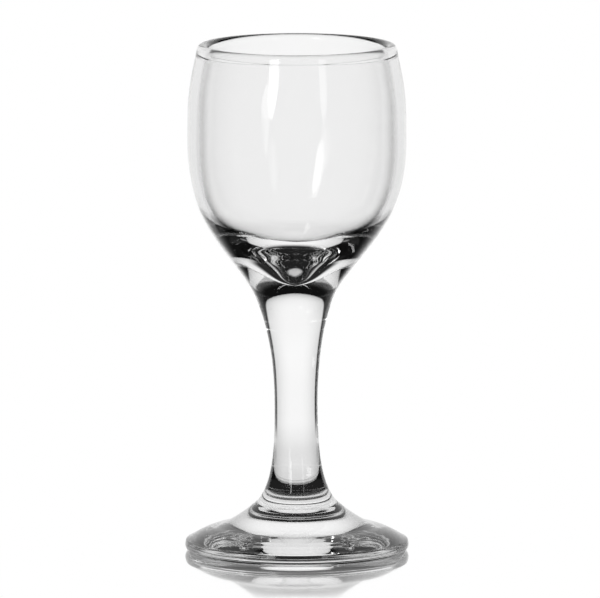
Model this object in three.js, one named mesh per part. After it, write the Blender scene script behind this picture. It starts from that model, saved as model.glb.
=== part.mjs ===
// Liqueur glass: a blown bowl, a drawn stem and a pressed foot, joined while hot.
// Millimetres, +Z up. The glass stands on z = 0 and its axis is the Z axis.

import * as THREE from 'three';

// Heights of the three gathers of glass, from the table up
const footHeight = 9.6;
const stemLength = 42.4;
const bowlHeight = 55;

// Foot: its outer edge, its resting ring and the shallow recess inside the ring
const footRadius = 23.5;
const footEdgeTopRounding = 1.4;
const footEdgeUnderWidth = 1.1;
const footEdgeUnderHeight = 1.3;
const restingRingWidth = 4.9;
const recessDepth = 0.25;

// Stem: its two ends, which are also the ends of the foot and of the bowl, and its waist
const footWeldRadius = 9.2;
const waistRadius = 4.52;
const waistAboveFoot = 21.2;
const bowlWeldRadius = 7.6;

// Bowl: heights are measured up from the weld with the stem
const flareRadius = 13.17;
const flareAboveWeld = 9.1;
const bellyRadius = 23;
const bellyAboveWeld = 34.7;
const rimRadius = 21;
const wallThickness = 2.25;
const bottomThickness = 6.8;

// Floor of the cavity: a funnel above its lowest point
const funnelRadius = 7.27;
const funnelRise = 4.96;

// Lip: a fire-polished bead, a little thicker than the wall below it
const lipThickness = 2.4;
const lipBeadHeight = 3.3;

// Lean of the side from upright at each station, positive where it opens upwards
const footEdgeLean = THREE.MathUtils.degToRad(-57.6);
const footWeldLean = THREE.MathUtils.degToRad(-52);
const bowlWeldLean = THREE.MathUtils.degToRad(20.2);
const flareLean = THREE.MathUtils.degToRad(37.2);
const funnelLean = THREE.MathUtils.degToRad(56.6);
const cavityTipLean = THREE.MathUtils.degToRad(77);
const rimLean = THREE.MathUtils.degToRad(-11);
const lipInsideLean = THREE.MathUtils.degToRad(-6);
const upright = 0;
const level = Math.PI / 2;

// How far the side keeps to the lean of a station before it turns to the next one
const recessReach = 6;
const recessEdgeReach = 6;
const footEdgeReach = 8.5;
const footWeldReachDown = 11.3;
const footWeldReachUp = 5.6;
const waistReachDown = 8.1;
const waistReachUp = 8;
const bowlWeldReachDown = 6.2;
const bowlWeldReachUp = 3.85;
const flareReachDown = 5.97;
const flareReachUp = 6.75;
const bellyReachDown = 14.2;
const bellyReachUp = 10.7;
const rimReach = 8.3;
const lipInsideReach = 0.8;
const underLipReachUp = 1;
const underLipReachDown = 7.3;
const cavityBellyReachUp = 9.4;
const cavityBellyReachDown = 20;
const funnelReachUp = 5;
const funnelReachDown = 3.3;
const cavityTipReach = 2.9;

// Steps round the axis and along the curves
const turnSteps = 64;
const longCurveSteps = 10;
const shortCurveSteps = 5;
const roundingSteps = 6;

const glass = { color: 0xf4f8f7, roughness: 0.02, metalness: 0, transparent: true, opacity: 0.35 };

// A place on a side: its radius, its height above the table and its lean
function station(radius, height, lean) {
  return { radius, height, lean };
}

function along(place, reach) {
  return new THREE.Vector2(
    place.radius + reach * Math.sin(place.lean),
    place.height + reach * Math.cos(place.lean),
  );
}

// The smooth side from a lower station up to a higher one
function sideUp(lower, lowerReach, upper, upperReach, steps) {
  const curve = new THREE.CubicBezierCurve(
    along(lower, 0),
    along(lower, lowerReach),
    along(upper, -upperReach),
    along(upper, 0),
  );
  return curve.getPoints(steps);
}

// Part of an ellipse in the half section, from one angle to another
function rounding(centre, width, height, startAngle, endAngle) {
  const clockwise = endAngle < startAngle;
  const arc = new THREE.EllipseCurve(
    centre.radius, centre.height, width, height, startAngle, endAngle, clockwise,
  );
  return arc.getPoints(roundingSteps);
}

// One outline from several stretches, where a stretch may start on the end of the one before
function joined(...stretches) {
  const outline = [];
  for (const point of stretches.flat()) {
    const last = outline[outline.length - 1];
    if (last === undefined || !last.equals(point)) {
      outline.push(point);
    }
  }
  return outline;
}

// The outline runs from the axis below, out and up the side, and back to the axis
function turned(name, outline) {
  const geometry = new THREE.LatheGeometry(outline, turnSteps);
  geometry.rotateX(Math.PI / 2);
  const mesh = new THREE.Mesh(geometry, new THREE.MeshStandardMaterial(glass));
  mesh.name = name;
  return mesh;
}

function onAxis(height) {
  return new THREE.Vector2(0, height);
}

// Stations that neighbouring pieces share
const footWeld = station(footWeldRadius, footHeight, footWeldLean);
const bowlWeld = station(bowlWeldRadius, footHeight + stemLength, bowlWeldLean);

function makeFoot() {
  const ringOutside = footRadius - footEdgeUnderWidth;
  const ringInside = ringOutside - restingRingWidth;
  const recessMiddle = station(0, recessDepth, level);
  const recessEdge = station(ringInside, 0, level);
  const recess = sideUp(recessMiddle, recessReach, recessEdge, recessEdgeReach, shortCurveSteps);
  const edgeUnder = rounding(
    { radius: ringOutside, height: footEdgeUnderHeight },
    footEdgeUnderWidth, footEdgeUnderHeight, -level, 0,
  );
  const edgeCentre = { radius: footRadius - footEdgeTopRounding, height: footEdgeUnderHeight };
  const edgeOver = rounding(
    edgeCentre, footEdgeTopRounding, footEdgeTopRounding, 0, -footEdgeLean,
  );
  const edgeTop = station(
    edgeCentre.radius + footEdgeTopRounding * Math.cos(footEdgeLean),
    edgeCentre.height - footEdgeTopRounding * Math.sin(footEdgeLean),
    footEdgeLean,
  );
  const top = sideUp(edgeTop, footEdgeReach, footWeld, footWeldReachDown, longCurveSteps);
  return turned('foot', joined(recess, edgeUnder, edgeOver, top, [onAxis(footHeight)]));
}

function makeStem() {
  const waist = station(waistRadius, footHeight + waistAboveFoot, upright);
  const lower = sideUp(footWeld, footWeldReachUp, waist, waistReachDown, longCurveSteps);
  const upper = sideUp(waist, waistReachUp, bowlWeld, bowlWeldReachDown, longCurveSteps);
  return turned('stem', joined([onAxis(footWeld.height)], lower, upper, [onAxis(bowlWeld.height)]));
}

function makeBowl() {
  const weldHeight = bowlWeld.height;
  const lipRounding = lipThickness / 2;
  const lipCentre = {
    radius: rimRadius - lipRounding,
    height: weldHeight + bowlHeight - lipRounding,
  };

  const flare = station(flareRadius, weldHeight + flareAboveWeld, flareLean);
  const belly = station(bellyRadius, weldHeight + bellyAboveWeld, upright);
  const rim = station(
    lipCentre.radius + lipRounding * Math.cos(rimLean),
    lipCentre.height - lipRounding * Math.sin(rimLean),
    rimLean,
  );
  const neckSide = sideUp(bowlWeld, bowlWeldReachUp, flare, flareReachDown, shortCurveSteps);
  const lowerSide = sideUp(flare, flareReachUp, belly, bellyReachDown, longCurveSteps);
  const upperSide = sideUp(belly, bellyReachUp, rim, rimReach, longCurveSteps);
  const lip = rounding(lipCentre, lipRounding, lipRounding, -rimLean, Math.PI - lipInsideLean);

  const underLip = station(
    rimRadius - wallThickness / Math.cos(rimLean) - lipBeadHeight * Math.tan(rimLean),
    weldHeight + bowlHeight - lipBeadHeight,
    rimLean,
  );
  const lipInside = station(
    lipCentre.radius - lipRounding * Math.cos(lipInsideLean),
    lipCentre.height + lipRounding * Math.sin(lipInsideLean),
    lipInsideLean,
  );
  const cavityBelly = station(bellyRadius - wallThickness, belly.height, upright);
  const cavityTip = station(0, weldHeight + bottomThickness, cavityTipLean);
  const funnel = station(funnelRadius, cavityTip.height + funnelRise, funnelLean);
  const bead = sideUp(underLip, underLipReachUp, lipInside, lipInsideReach, shortCurveSteps);
  const cavityUpper = sideUp(
    cavityBelly, cavityBellyReachUp, underLip, underLipReachDown, longCurveSteps,
  );
  const cavityLower = sideUp(
    funnel, funnelReachUp, cavityBelly, cavityBellyReachDown, longCurveSteps,
  );
  const cavityFloor = sideUp(cavityTip, cavityTipReach, funnel, funnelReachDown, shortCurveSteps);
  const cavity = [bead, cavityUpper, cavityLower, cavityFloor].map((stretch) => stretch.reverse());
  return turned('bowl', joined(
    [onAxis(weldHeight)], neckSide, lowerSide, upperSide, lip, ...cavity,
  ));
}

const liqueurGlass = new THREE.Group();
liqueurGlass.add(makeFoot(), makeStem(), makeBowl());

export default liqueurGlass;
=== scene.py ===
import math

import bpy
import numpy as np
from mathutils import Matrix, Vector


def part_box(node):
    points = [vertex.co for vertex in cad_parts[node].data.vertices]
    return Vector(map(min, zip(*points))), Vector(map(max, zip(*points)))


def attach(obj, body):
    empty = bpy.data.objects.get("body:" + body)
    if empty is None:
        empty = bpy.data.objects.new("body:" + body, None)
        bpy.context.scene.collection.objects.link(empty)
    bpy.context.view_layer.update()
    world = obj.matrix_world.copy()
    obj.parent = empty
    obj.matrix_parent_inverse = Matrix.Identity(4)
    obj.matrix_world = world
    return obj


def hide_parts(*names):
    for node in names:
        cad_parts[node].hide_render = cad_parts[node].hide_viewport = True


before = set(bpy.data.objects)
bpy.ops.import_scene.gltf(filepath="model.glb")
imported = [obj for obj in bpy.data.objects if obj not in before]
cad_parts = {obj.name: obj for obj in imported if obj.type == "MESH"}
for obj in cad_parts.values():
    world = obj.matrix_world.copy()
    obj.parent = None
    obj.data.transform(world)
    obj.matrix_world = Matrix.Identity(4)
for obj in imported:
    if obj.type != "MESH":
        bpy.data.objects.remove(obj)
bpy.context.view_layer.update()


# Sizes in millimetres. The frame gives the heights of the welds and the largest radii
MM = 0.001
foot_box, stem_box, bowl_box = (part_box(node) for node in ("foot", "stem", "bowl"))
FOOT_HEIGHT = foot_box[1].z / MM
BOWL_WELD_HEIGHT = stem_box[1].z / MM
TOTAL_HEIGHT = bowl_box[1].z / MM
FOOT_RADIUS = foot_box[1].x / MM
FOOT_WELD_RADIUS = stem_box[1].x / MM
BELLY_RADIUS = bowl_box[1].x / MM

# Foot
EDGE_TOP_ROUNDING = 1.4
EDGE_UNDER_WIDTH = 1.1
EDGE_UNDER_HEIGHT = 1.3
RESTING_RING_WIDTH = 4.9
RECESS_DEPTH = 0.25

# Stem, with its weld to the bowl
WAIST_RADIUS = 4.52
WAIST_ABOVE_FOOT = 21.2
BOWL_WELD_RADIUS = 7.6

# Bowl, measured up from its weld
FLARE_RADIUS = 13.17
FLARE_ABOVE_WELD = 9.1
BELLY_ABOVE_WELD = 34.7
RIM_RADIUS = 21
WALL_THICKNESS = 2.25
BOTTOM_THICKNESS = 6.8
FUNNEL_RADIUS = 7.27
FUNNEL_RISE = 4.96
LIP_THICKNESS = 2.4
LIP_BEAD_HEIGHT = 3.3

# Lean of the side from upright at each station, positive where it opens upwards
FOOT_EDGE_LEAN = math.radians(-57.6)
FOOT_WELD_LEAN = math.radians(-52)
BOWL_WELD_LEAN = math.radians(20.2)
FLARE_LEAN = math.radians(37.2)
FUNNEL_LEAN = math.radians(56.6)
CAVITY_TIP_LEAN = math.radians(77)
RIM_LEAN = math.radians(-11)
LIP_INSIDE_LEAN = math.radians(-6)
UPRIGHT = 0
LEVEL = math.pi / 2

# How far the side keeps to the lean of a station before it turns to the next one
RECESS_REACH = 6
RECESS_EDGE_REACH = 6
FOOT_EDGE_REACH = 8.5
FOOT_WELD_REACH_DOWN = 11.3
FOOT_WELD_REACH_UP = 5.6
WAIST_REACH_DOWN = 8.1
WAIST_REACH_UP = 8
BOWL_WELD_REACH_DOWN = 6.2
BOWL_WELD_REACH_UP = 3.85
FLARE_REACH_DOWN = 5.97
FLARE_REACH_UP = 6.75
BELLY_REACH_DOWN = 14.2
BELLY_REACH_UP = 10.7
RIM_REACH = 8.3
LIP_INSIDE_REACH = 0.8
UNDER_LIP_REACH_UP = 1
UNDER_LIP_REACH_DOWN = 7.3
CAVITY_BELLY_REACH_UP = 9.4
CAVITY_BELLY_REACH_DOWN = 20
FUNNEL_REACH_UP = 5
FUNNEL_REACH_DOWN = 3.3
CAVITY_TIP_REACH = 2.9

# Fineness of the surface
TURN_STEPS = 256
LONG_STEPS = 96
CURVE_STEPS = 48
SHORT_STEPS = 24
ROUNDING_STEPS = 20


# The half section: one outline from the axis under the foot, up the outside and down the cavity

def station(radius, height, lean):
    return radius, height, lean


def along(place, reach):
    radius, height, lean = place
    return np.array([radius + reach * math.sin(lean), height + reach * math.cos(lean)])


def bezier(start, start_pull, end_pull, end, steps):
    t = np.linspace(0, 1, steps + 1)[:, None]
    back = 1 - t
    return back**3 * start + 3 * back**2 * t * start_pull + 3 * back * t**2 * end_pull + t**3 * end


def side_up(lower, lower_reach, upper, upper_reach, steps):
    return bezier(
        along(lower, 0), along(lower, lower_reach), along(upper, -upper_reach), along(upper, 0), steps
    )


def rounding(centre, width, height, start, end):
    turn = np.linspace(start, end, ROUNDING_STEPS + 1)
    return np.stack([centre[0] + width * np.cos(turn), centre[1] + height * np.sin(turn)], 1)


def joined(*stretches):
    """One outline, where a stretch may start on the end of the one before."""
    points = [stretches[0][0]]
    for stretch in stretches:
        for point in stretch:
            if not np.allclose(point, points[-1]):
                points.append(point)
    return points


foot_weld = station(FOOT_WELD_RADIUS, FOOT_HEIGHT, FOOT_WELD_LEAN)
bowl_weld = station(BOWL_WELD_RADIUS, BOWL_WELD_HEIGHT, BOWL_WELD_LEAN)


def foot_outline():
    ring_outside = FOOT_RADIUS - EDGE_UNDER_WIDTH
    ring_inside = ring_outside - RESTING_RING_WIDTH
    middle = station(0, RECESS_DEPTH, LEVEL)
    recess_edge = station(ring_inside, 0, LEVEL)
    recess = side_up(middle, RECESS_REACH, recess_edge, RECESS_EDGE_REACH, CURVE_STEPS)
    ring = np.array([[(ring_inside + ring_outside) / 2, 0]])
    edge_under = rounding(
        (ring_outside, EDGE_UNDER_HEIGHT), EDGE_UNDER_WIDTH, EDGE_UNDER_HEIGHT, -LEVEL, 0
    )
    edge_centre = FOOT_RADIUS - EDGE_TOP_ROUNDING, EDGE_UNDER_HEIGHT
    edge_over = rounding(edge_centre, EDGE_TOP_ROUNDING, EDGE_TOP_ROUNDING, 0, -FOOT_EDGE_LEAN)
    edge_top = station(*edge_over[-1], FOOT_EDGE_LEAN)
    top = side_up(edge_top, FOOT_EDGE_REACH, foot_weld, FOOT_WELD_REACH_DOWN, CURVE_STEPS)
    return joined(recess, ring, edge_under, edge_over, top)


def stem_outline():
    waist = station(WAIST_RADIUS, FOOT_HEIGHT + WAIST_ABOVE_FOOT, UPRIGHT)
    lower = side_up(foot_weld, FOOT_WELD_REACH_UP, waist, WAIST_REACH_DOWN, CURVE_STEPS)
    upper = side_up(waist, WAIST_REACH_UP, bowl_weld, BOWL_WELD_REACH_DOWN, CURVE_STEPS)
    return joined(lower, upper)


def bowl_outline():
    flare = station(FLARE_RADIUS, BOWL_WELD_HEIGHT + FLARE_ABOVE_WELD, FLARE_LEAN)
    belly = station(BELLY_RADIUS, BOWL_WELD_HEIGHT + BELLY_ABOVE_WELD, UPRIGHT)
    lip_rounding = LIP_THICKNESS / 2
    lip_centre = RIM_RADIUS - lip_rounding, TOTAL_HEIGHT - lip_rounding
    lip = rounding(lip_centre, lip_rounding, lip_rounding, -RIM_LEAN, math.pi - LIP_INSIDE_LEAN)
    rim = station(*lip[0], RIM_LEAN)
    outside = (
        side_up(bowl_weld, BOWL_WELD_REACH_UP, flare, FLARE_REACH_DOWN, SHORT_STEPS),
        side_up(flare, FLARE_REACH_UP, belly, BELLY_REACH_DOWN, CURVE_STEPS),
        side_up(belly, BELLY_REACH_UP, rim, RIM_REACH, SHORT_STEPS),
    )
    under_lip = station(
        RIM_RADIUS - WALL_THICKNESS / math.cos(RIM_LEAN) - LIP_BEAD_HEIGHT * math.tan(RIM_LEAN),
        TOTAL_HEIGHT - LIP_BEAD_HEIGHT,
        RIM_LEAN,
    )
    lip_inside = station(*lip[-1], LIP_INSIDE_LEAN)
    cavity_belly = station(BELLY_RADIUS - WALL_THICKNESS, belly[1], UPRIGHT)
    tip = station(0, BOWL_WELD_HEIGHT + BOTTOM_THICKNESS, CAVITY_TIP_LEAN)
    funnel = station(FUNNEL_RADIUS, tip[1] + FUNNEL_RISE, FUNNEL_LEAN)
    inside = (
        side_up(under_lip, UNDER_LIP_REACH_UP, lip_inside, LIP_INSIDE_REACH, ROUNDING_STEPS)[::-1],
        side_up(
            cavity_belly, CAVITY_BELLY_REACH_UP, under_lip, UNDER_LIP_REACH_DOWN, SHORT_STEPS
        )[::-1],
        side_up(funnel, FUNNEL_REACH_UP, cavity_belly, CAVITY_BELLY_REACH_DOWN, LONG_STEPS)[::-1],
        side_up(tip, CAVITY_TIP_REACH, funnel, FUNNEL_REACH_DOWN, CURVE_STEPS)[::-1],
    )
    return joined(*outside, lip, *inside)


def whole_outline():
    """All the outline's points, with the rows at which the two welds lie."""
    foot = foot_outline()
    foot_and_stem = joined(foot, stem_outline())
    whole = joined(foot_and_stem, bowl_outline())
    return np.array(whole), len(foot) - 1, len(foot_and_stem) - 1


# Handwork: slow waves along the surface's normal, fine rings round the foot and a slight lean

WAVES = (
    # height, depth, spread, lobes, phase in radians
    (4.5, 0.02, 3.5, 3, 0.7),
    (4.5, 0.012, 3.0, 7, 2.1),
    (12, 0.02, 6.0, 5, 1.3),
    (31, 0.015, 12.0, 3, 0.4),
    (58, 0.025, 5.0, 4, 2.6),
    (64, 0.015, 4.0, 7, 0.9),
    (86, 0.02, 12.0, 5, 1.9),
)
RINGS = (
    # height, how far it stands out, spread: the weld's bead, the edge's mould line, lines above it
    (FOOT_HEIGHT, 0.1, 0.5),
    (2.2, 0.12, 0.25),
    (3.4, -0.03, 0.2),
    (4.0, -0.03, 0.2),
    (4.6, -0.03, 0.2),
    (5.2, -0.03, 0.2),
)
AXIS_LEAN = (
    # height, sideways shift of the axis
    (0, 0),
    (12, -0.02),
    (30, -0.18),
    (40, -0.22),
    (47, -0.36),
    (56, -0.55),
    (66, -0.3),
    (78, 0),
)


def bell(distance, spread):
    return np.exp(-(distance / spread) ** 2)


def surface_waves(radius, height, turn):
    """Millimetres out along the normal, none where the glass rests and at the axis."""
    out = np.zeros_like(height)
    for wave_height, depth, spread, lobes, phase in WAVES:
        out += depth * bell(height - wave_height, spread) * np.cos(lobes * turn + phase)
    for ring_height, rise, spread in RINGS:
        out += rise * bell(height - ring_height, spread) * (radius > WAIST_RADIUS)
    return out * np.clip(radius / WAIST_RADIUS, 0, 1)


def axis_shift(height):
    heights, shifts = zip(*AXIS_LEAN)
    return np.interp(height, heights, shifts)


def turned_surface():
    """The places and the normals of every outline point all round the axis."""
    outline, foot_top, stem_top = whole_outline()
    turns = np.linspace(0, 2 * math.pi, TURN_STEPS, endpoint=False)
    radius, turn = np.meshgrid(outline[:, 0], turns, indexing="ij")
    height, turn = np.meshgrid(outline[:, 1], turns, indexing="ij")
    step = np.gradient(outline, axis=0)
    step /= np.linalg.norm(step, axis=1)[:, None]
    above_table = outline[:, 1] > EDGE_UNDER_HEIGHT
    out = surface_waves(radius, height, turn) * above_table[:, None]
    radius = radius + out * step[:, 1][:, None]
    height = height - out * step[:, 0][:, None]
    places = np.stack([
        radius * np.cos(turn) + axis_shift(height), radius * np.sin(turn), height,
    ], 2) * MM
    round_step = np.roll(places, -1, 1) - np.roll(places, 1, 1)
    up_step = np.gradient(places, axis=0)
    normals = np.cross(round_step, up_step)
    normals /= np.maximum(np.linalg.norm(normals, axis=2, keepdims=True), np.finfo(float).tiny)
    normals[0] = (0, 0, -1)
    normals[-1] = (0, 0, 1)
    return places, normals, foot_top, stem_top


surface, surface_normals, foot_top_row, stem_top_row = turned_surface()


GLASS_SLOT, WELD_SLOT = 0, 1


class Body:
    """A mesh that grows ring by ring, with its own normals at each corner."""

    def __init__(self):
        self.places = []
        self.faces = []
        self.normals = []
        self.slots = []

    def add_ring(self, row):
        first = len(self.places)
        on_axis = row in (0, len(surface) - 1)
        ring = surface[row][:1] if on_axis else surface[row]
        self.places.extend(ring)
        return [first + step % len(ring) for step in range(TURN_STEPS + 1)]

    def add_face(self, corners, normals, slot):
        """One face, less the corners that fall together on the axis."""
        kept = [k for k, corner in enumerate(corners) if corner not in corners[:k]]
        self.faces.append([corners[k] for k in kept])
        self.normals.extend(tuple(normals[k]) for k in kept)
        self.slots.append(slot)

    def add_band(self, low, high, low_row):
        for k in range(TURN_STEPS):
            after = (k + 1) % TURN_STEPS
            corners = [low[k], low[k + 1], high[k + 1], high[k]]
            normals = (
                surface_normals[low_row][k], surface_normals[low_row][after],
                surface_normals[low_row + 1][after], surface_normals[low_row + 1][k],
            )
            self.add_face(corners, normals, GLASS_SLOT)

    def add_weld(self, ring, row, facing):
        """A flat disc across the weld, which faces up (1) or down (-1)."""
        middle = len(self.places)
        self.places.append(surface[row].mean(axis=0))
        for k in range(TURN_STEPS):
            corners = [*[ring[k], ring[k + 1]][::facing], middle]
            self.add_face(corners, [(0, 0, facing)] * len(corners), WELD_SLOT)


def make_piece(name, node, first_row, last_row, finish):
    body = Body()
    rings = [body.add_ring(row) for row in range(first_row, last_row + 1)]
    for low, (ring, above) in enumerate(zip(rings, rings[1:]), first_row):
        body.add_band(ring, above, low)
    if first_row > 0:
        body.add_weld(rings[0], first_row, -1)
    if last_row < len(surface) - 1:
        body.add_weld(rings[-1], last_row, 1)
    mesh = bpy.data.meshes.new(name)
    mesh.from_pydata([tuple(place) for place in body.places], [], body.faces)
    mesh.materials.append(finish)
    mesh.materials.append(weld_finish)
    mesh.polygons.foreach_set("material_index", body.slots)
    mesh.polygons.foreach_set("use_smooth", [True] * len(body.faces))
    mesh.normals_split_custom_set(body.normals)
    piece = bpy.data.objects.new(name, mesh)
    bpy.context.scene.collection.objects.link(piece)
    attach(piece, "root")
    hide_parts(node)


# Nodes of materials and of the world

class Nodes:
    """A node tree under construction."""

    def __init__(self, tree):
        self.tree = tree
        tree.nodes.clear()

    def add(self, kind, links=(), **settings):
        node = self.tree.nodes.new(kind)
        for name, value in settings.items():
            setattr(node, name, value)
        for socket, source in dict(links).items():
            self.join(source, node.inputs[socket])
        return node

    def join(self, source, socket):
        if isinstance(source, bpy.types.NodeSocket):
            self.tree.links.new(source, socket)
        else:
            socket.default_value = source

    def maths(self, operation, *values):
        node = self.add("ShaderNodeMath", dict(enumerate(values)), operation=operation)
        return node.outputs[0]

    def ramp(self, value, start, end, first, last):
        """From first, at start and below, smoothly to last, at end and above."""
        node = self.add("ShaderNodeMapRange", {
            "Value": value, "From Min": start, "From Max": end, "To Min": first, "To Max": last,
        }, interpolation_type="SMOOTHSTEP")
        return node.outputs["Result"]

    def mixed(self, share, first, second):
        return self.add("ShaderNodeMixShader", {0: share, 1: first, 2: second}).outputs[0]


WHITE = (1, 1, 1, 1)
GLASS_IOR = 1.5
# Painted shade at the glass's edges: its colour darkens where it is seen at a slant, from 0, square
# on, to 1, edge on
EDGE_PAINTED_SHADE_SHARE, FOOT_EDGE_PAINTED_SHADE_SHARE = 0.55, 0.25
EDGE_PAINTED_SHADE_START, EDGE_PAINTED_SHADE_END = 0.45, 0.88
# Fine waves of the surface: their depth, how many to a metre, how many times longer upwards
WAVE_BUMP = 0.02 * MM
WAVE_DETAIL = 1
PRESSED_WAVES, DRAWN_WAVES, BLOWN_WAVES = (50, 1), (140, 5), (90, 2)
# Underside of the foot, up to its edge
PRESSED_TOP, PRESSED_END = 0.7 * MM, 1 * MM
PRESSED_ROUGHNESS = 0.03
# Contour of the bowl's lower part, which softens towards the edge
SOFT_EDGE_TOP, SOFT_EDGE_END = 68 * MM, 78 * MM
SOFT_EDGE_START, SOFT_EDGE_FULL = 0.62, 1
SOFT_EDGE_SHARE = 0.8


def pressed_roughness(nodes, height):
    """The foot's underside keeps the satin of its mould."""
    return nodes.ramp(height, PRESSED_TOP, PRESSED_END, PRESSED_ROUGHNESS, 0)


def soft_edge_share(nodes, height, slant):
    """How much light passes by the contour of the bowl's thick lower part."""
    below = nodes.ramp(height, SOFT_EDGE_TOP, SOFT_EDGE_END, SOFT_EDGE_SHARE, 0)
    edge = nodes.ramp(slant, SOFT_EDGE_START, SOFT_EDGE_FULL, 0, 1)
    return nodes.maths("MULTIPLY", below, edge)


def glass_finish(name, waves, painted_edge_shade_share, roughness_of=None, clear_share_of=None):
    """Clear glass, with a painted shade that darkens its colour at its edges, and a faint bump of
    slow waves.
    """
    wave_scale, stretch = waves
    material = bpy.data.materials.new(name)
    material.use_nodes = True
    nodes = Nodes(material.node_tree)
    place = nodes.add("ShaderNodeTexCoord").outputs["Object"]
    height = nodes.add("ShaderNodeSeparateXYZ", {0: place}).outputs["Z"]
    placed = nodes.add("ShaderNodeMapping", {"Vector": place, "Scale": (1, 1, 1 / stretch)})
    relief = nodes.add("ShaderNodeTexNoise", {
        "Vector": placed.outputs[0], "Scale": wave_scale, "Detail": WAVE_DETAIL,
    })
    bump = nodes.add("ShaderNodeBump", {"Height": relief.outputs[0], "Distance": WAVE_BUMP})
    slant = nodes.add("ShaderNodeLayerWeight").outputs["Facing"]
    # Painted shade: the colour darkens towards the contour, where the surface is seen at a slant
    painted_edge_shade = nodes.ramp(slant, EDGE_PAINTED_SHADE_START, EDGE_PAINTED_SHADE_END, 1, painted_edge_shade_share)
    color = nodes.add("ShaderNodeCombineColor", {0: painted_edge_shade, 1: painted_edge_shade, 2: painted_edge_shade}).outputs[0]
    glass = nodes.add("ShaderNodeBsdfPrincipled", {
        "Base Color": color, "IOR": GLASS_IOR, "Transmission Weight": 1, "Normal": bump.outputs[0],
        "Roughness": roughness_of(nodes, height) if roughness_of else 0,
    }).outputs[0]
    if clear_share_of:
        clear = nodes.add("ShaderNodeBsdfTransparent").outputs[0]
        glass = nodes.mixed(clear_share_of(nodes, height, slant), glass, clear)
    nodes.add("ShaderNodeOutputMaterial", {"Surface": glass})
    return material


def clear_finish(name):
    """Light goes straight through."""
    material = bpy.data.materials.new(name)
    material.use_nodes = True
    nodes = Nodes(material.node_tree)
    clear = nodes.add("ShaderNodeBsdfTransparent")
    nodes.add("ShaderNodeOutputMaterial", {"Surface": clear.outputs[0]})
    return material


weld_finish = clear_finish("fused_weld")
last_row = len(surface) - 1
pressed_glass = glass_finish(
    "pressed_glass", PRESSED_WAVES, FOOT_EDGE_PAINTED_SHADE_SHARE, roughness_of=pressed_roughness
)
drawn_glass = glass_finish("drawn_glass", DRAWN_WAVES, EDGE_PAINTED_SHADE_SHARE)
blown_glass = glass_finish(
    "blown_glass", BLOWN_WAVES, EDGE_PAINTED_SHADE_SHARE, clear_share_of=soft_edge_share
)
make_piece("glass_foot", "foot", 0, foot_top_row, pressed_glass)
make_piece("glass_stem", "stem", foot_top_row, stem_top_row, drawn_glass)
make_piece("glass_bowl", "bowl", stem_top_row, last_row, blown_glass)


# Stage: a pale studio, bright behind the glass and dim round the camera

# Bright window behind the glass, in angles to its two sides, and how it narrows higher up
FADE_START, WINDOW_START, WINDOW_END = (math.radians(angle) for angle in (8, 46, 54))
SIDE_SHARE = 0.82
NARROW_START, NARROW_END, NARROWING = (math.radians(angle) for angle in (10, 35, 7))

# Heights over the horizon at which the window grows dimmer and ends, and the dark round it
LOW_SKY, HIGH_SKY, WINDOW_TOP, DARK_TOP = (math.radians(angle) for angle in (12, 48, 58, 62))
HIGH_SHARE = 0.75
DIM_SHARE = 0.004
ROOM_SHARE = 0.006

# How many surfaces light has met: less than one, and more than three, which is both walls
LESS_THAN_ONE, MORE_THAN_THREE = 0.5, 3.5

# Table as the glass shows it: a painted shadow, dark under the foot, then pale with a painted shade
# that lifts further out, and a paler painted pool of light round the foot
PAINTED_SHADOW_RADIUS, PAINTED_SHADOW_END = 17 * MM, 24 * MM
DIRECT_PAINTED_SHADOW_RADIUS, DIRECT_PAINTED_SHADOW_END = 9 * MM, 12 * MM
PAINTED_SHADOW_SHARE = 0.015
PAINTED_SHADE_FAR = 200 * MM
PAINTED_NEAR_SHADE_SHARE = 0.76
PAINTED_LIGHT_POOL_INSIDE, PAINTED_LIGHT_POOL_OUTSIDE = 90 * MM, 160 * MM
PAINTED_LIGHT_POOL_SHARE = 0.85

# Slant at which the table is met, from 0, straight down, to 1, level. Where it is met steeply, the
# table has a painted shade
OVERHEAD_SLANT, STEEP_SLANT, LEVEL_SLANT = 0.25, 0.38, 0.62
STEEP_PAINTED_SHADE_SHARE = 0.03

# Gloss of the table near the glass
MIRROR_START, MIRROR_END = 0.55, 0.85
MIRROR_SHARE = 0.9
MIRROR_NEAR, MIRROR_FAR = 40 * MM, 80 * MM
FLOOR_ROUGHNESS = 0.05

# Floor, and a clear film on it, in metres
FLOOR_SIZE = 8
FILM_DROP, FLOOR_DROP = 0.03 * MM, 0.06 * MM


def only_refracted(nodes, light_path):
    """One for light that nothing has mirrored on its way."""
    return nodes.maths("LESS_THAN", light_path.outputs["Glossy Depth"], LESS_THAN_ONE)


def through_bowl(nodes, light_path):
    """One for light that came straight through both walls of the bowl."""
    deep = nodes.maths("GREATER_THAN", light_path.outputs["Transmission Depth"], MORE_THAN_THREE)
    return nodes.maths("MULTIPLY", deep, only_refracted(nodes, light_path))


def off_floor(nodes, light_path):
    """One for light that the floor mirrors: it crosses the film, and no glass."""
    film = nodes.maths("GREATER_THAN", light_path.outputs["Transparent Depth"], LESS_THAN_ONE)
    no_glass = nodes.maths("LESS_THAN", light_path.outputs["Transmission Depth"], LESS_THAN_ONE)
    return nodes.maths("MULTIPLY", film, no_glass)


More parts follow.
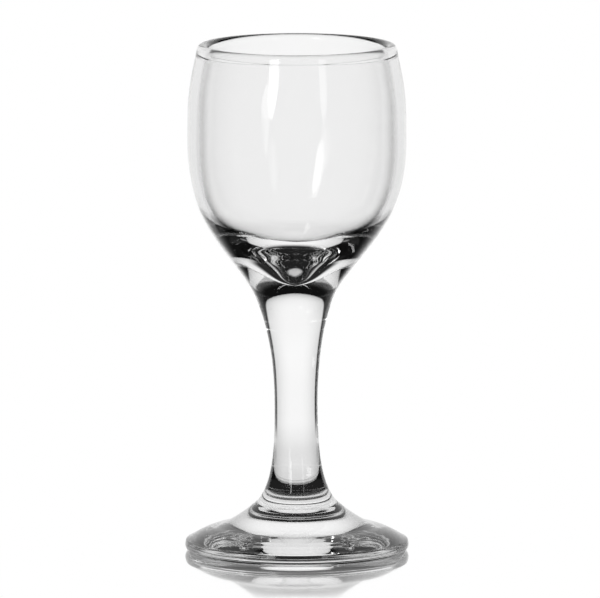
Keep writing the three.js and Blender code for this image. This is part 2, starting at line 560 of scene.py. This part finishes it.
def behind_share(nodes, sideways, away, light_path, narrowing=0):
    """Bright behind the glass, dim elsewhere; refracted light sees the front like the back."""
    refracted = only_refracted(nodes, light_path)
    folded = nodes.maths("ABSOLUTE", away)
    depth = nodes.maths("ADD", away, nodes.maths(
        "MULTIPLY", refracted, nodes.maths("SUBTRACT", folded, away)
    ))
    azimuth = nodes.maths("ARCTAN2", nodes.maths("ABSOLUTE", sideways), depth)
    azimuth = nodes.maths("ADD", azimuth, narrowing)
    fading = nodes.ramp(azimuth, FADE_START, WINDOW_START, 1, SIDE_SHARE)
    window = nodes.ramp(azimuth, WINDOW_START, WINDOW_END, 1, 0)
    dim = nodes.maths("MULTIPLY", refracted, ROOM_SHARE)
    return nodes.maths("MAXIMUM", nodes.maths("MULTIPLY", fading, window), dim)


def make_world():
    world = bpy.data.worlds.new("studio")
    bpy.context.scene.world = world
    world.use_nodes = True
    nodes = Nodes(world.node_tree)
    light_path = nodes.add("ShaderNodeLightPath")
    direction = nodes.add("ShaderNodeTexCoord").outputs["Generated"]
    sideways, away, up = nodes.add("ShaderNodeSeparateXYZ", {0: direction}).outputs
    elevation = nodes.maths("ARCSINE", up)
    narrowing = nodes.ramp(elevation, NARROW_START, NARROW_END, 0, NARROWING)
    behind = behind_share(nodes, sideways, away, light_path, narrowing)
    bright = nodes.maths("MAXIMUM", behind, through_bowl(nodes, light_path))
    higher = nodes.ramp(elevation, LOW_SKY, HIGH_SKY, 1, HIGH_SHARE)
    top = nodes.ramp(elevation, WINDOW_TOP, DARK_TOP, 1, 0)
    sky_share = nodes.maths("MULTIPLY", nodes.maths("MULTIPLY", bright, higher), top)
    lit = nodes.maths("MAXIMUM", sky_share, DIM_SHARE)
    lit = nodes.maths("MAXIMUM", lit, off_floor(nodes, light_path))
    share = nodes.maths("MAXIMUM", lit, light_path.outputs["Is Camera Ray"])
    sky = nodes.add("ShaderNodeBackground", {"Color": WHITE, "Strength": share})
    nodes.add("ShaderNodeOutputWorld", {"Surface": sky.outputs[0]})


def floor_finish():
    """White to the camera; to the glass a table in the window's light, with a painted shadow under
    the foot, painted shade and a painted pool of light round it, and a little gloss.
    """
    material = bpy.data.materials.new("pale_floor")
    material.use_nodes = True
    nodes = Nodes(material.node_tree)
    light_path = nodes.add("ShaderNodeLightPath")
    place = nodes.add("ShaderNodeNewGeometry").outputs["Position"]
    sideways, away, _ = nodes.add("ShaderNodeSeparateXYZ", {0: place}).outputs
    radius = nodes.add("ShaderNodeVectorMath", {0: place}, operation="LENGTH").outputs["Value"]
    slant = nodes.add("ShaderNodeLayerWeight").outputs["Facing"]
    # Painted pool of light: the table is paler round the foot, whichever way the window lies
    sheet = nodes.ramp(radius, PAINTED_LIGHT_POOL_INSIDE, PAINTED_LIGHT_POOL_OUTSIDE, PAINTED_LIGHT_POOL_SHARE, 0)
    behind = nodes.maths("MAXIMUM", behind_share(nodes, sideways, away, light_path), sheet)
    # Painted shadow on the table under the foot and round its edge
    painted_contact_shadow = nodes.ramp(radius, PAINTED_SHADOW_RADIUS, PAINTED_SHADOW_END, PAINTED_SHADOW_SHARE, 1)
    # Painted shade: the table grows darker towards the glass
    painted_near_shade = nodes.ramp(radius, PAINTED_SHADOW_END, PAINTED_SHADE_FAR, PAINTED_NEAR_SHADE_SHARE, 1)
    # Painted shade on the table where it is met steeply
    level = nodes.ramp(slant, STEEP_SLANT, LEVEL_SLANT, STEEP_PAINTED_SHADE_SHARE, 1)
    bounced = nodes.maths("MULTIPLY", painted_contact_shadow, level)
    direct = nodes.maths("MULTIPLY", only_refracted(nodes, light_path), nodes.maths(
        "LESS_THAN", light_path.outputs["Transmission Depth"], MORE_THAN_THREE
    ))
    # Painted shadow: light that came straight through the foot sees a smaller dark disc under it
    straight = nodes.maths(
        "MULTIPLY", direct, nodes.ramp(radius, DIRECT_PAINTED_SHADOW_RADIUS, DIRECT_PAINTED_SHADOW_END, PAINTED_SHADOW_SHARE, 1)
    )
    table = nodes.maths("MULTIPLY", behind, nodes.maths("MAXIMUM", bounced, straight))
    overhead = nodes.maths(
        "MULTIPLY", nodes.ramp(slant, OVERHEAD_SLANT, STEEP_SLANT, 1, 0), direct
    )
    plain = nodes.maths("MAXIMUM", overhead, through_bowl(nodes, light_path))
    seen = nodes.maths("MULTIPLY", nodes.maths("MAXIMUM", table, plain), painted_near_shade)
    lit = nodes.maths("MAXIMUM", seen, PAINTED_SHADOW_SHARE)
    share = nodes.maths("MAXIMUM", lit, light_path.outputs["Is Camera Ray"])
    paper = nodes.add("ShaderNodeEmission", {"Color": WHITE, "Strength": share})
    gloss = nodes.add("ShaderNodeBsdfGlossy", {"Color": WHITE, "Roughness": FLOOR_ROUGHNESS})
    mirror = nodes.maths(
        "MULTIPLY", nodes.ramp(slant, MIRROR_START, MIRROR_END, 0, MIRROR_SHARE),
        nodes.ramp(radius, MIRROR_NEAR, MIRROR_FAR, 1, 0),
    )
    nodes.add("ShaderNodeOutputMaterial", {
        "Surface": nodes.mixed(mirror, paper.outputs[0], gloss.outputs[0]),
    })
    return material


def make_sheet(name, drop, finish):
    bpy.ops.mesh.primitive_plane_add(size=FLOOR_SIZE, location=(0, 0, -drop))
    sheet = bpy.context.object
    sheet.name = name
    sheet.data.materials.append(finish)


# Lamps: tall strips of light to the two sides of the camera's view, which the glass mirrors as thin
# bright lines

LAMP_DISTANCE = 650 * MM
LAMPS = (
    # name, degrees to the left of the view, degrees of tilt, width, bottom, top, brightness
    ("left_strip", 26, 3, 120, 75, 560, 2.8),
    ("right_strip", -29, 3, 90, 60, 500, 0.6),
    ("low_strip", 33, 0, 110, 0, 260, 0.8),
)


def make_lamp(name, aside, tilt, width, bottom, top, brightness):
    azimuth = math.radians(aside)
    width, tall = width * MM, (top - bottom) * MM
    strip = bpy.data.lights.new(name, "AREA")
    strip.shape = "ELLIPSE"
    strip.size = width
    strip.size_y = tall
    strip.energy = brightness * math.pi * (math.pi / 4 * width * tall)
    lamp = bpy.data.objects.new(name, strip)
    lamp.location = (
        -LAMP_DISTANCE * math.sin(azimuth), -LAMP_DISTANCE * math.cos(azimuth), bottom * MM + tall / 2
    )
    lamp.rotation_euler = (math.pi / 2, math.radians(tilt), -azimuth)
    lamp.visible_camera = False
    bpy.context.scene.collection.objects.link(lamp)


# Camera at the photograph's place, in metres: a long lens, looking down a little on the glass

CAMERA_PLACE = (0.00065, -3, 0.4625)
CAMERA_PITCH = math.radians(7.77)
PHOTO_WIDTH = 600
FOCAL_PIXELS = 14430
SENSOR_WIDTH = 36


def make_camera():
    lens = bpy.data.cameras.new("camera")
    camera = bpy.data.objects.new("camera", lens)
    bpy.context.scene.collection.objects.link(camera)
    lens.sensor_width = SENSOR_WIDTH
    lens.lens = FOCAL_PIXELS / PHOTO_WIDTH * SENSOR_WIDTH
    camera.location = CAMERA_PLACE
    camera.rotation_euler = (math.pi / 2 - CAMERA_PITCH, 0, 0)
    bpy.context.scene.camera = camera


CLEAR_BOUNCES, GLOSSY_BOUNCES = 32, 16


def set_rendering():
    scene = bpy.context.scene
    scene.view_settings.view_transform = "Standard"
    scene.cycles.max_bounces = CLEAR_BOUNCES
    scene.cycles.transmission_bounces = CLEAR_BOUNCES
    scene.cycles.transparent_max_bounces = CLEAR_BOUNCES
    scene.cycles.glossy_bounces = GLOSSY_BOUNCES
    scene.cycles.caustics_reflective = False
    scene.cycles.caustics_refractive = False


make_world()
make_sheet("floor", FLOOR_DROP, floor_finish())
make_sheet("film_on_floor", FILM_DROP, clear_finish("clear_film"))
for lamp in LAMPS:
    make_lamp(*lamp)
make_camera()
set_rendering()
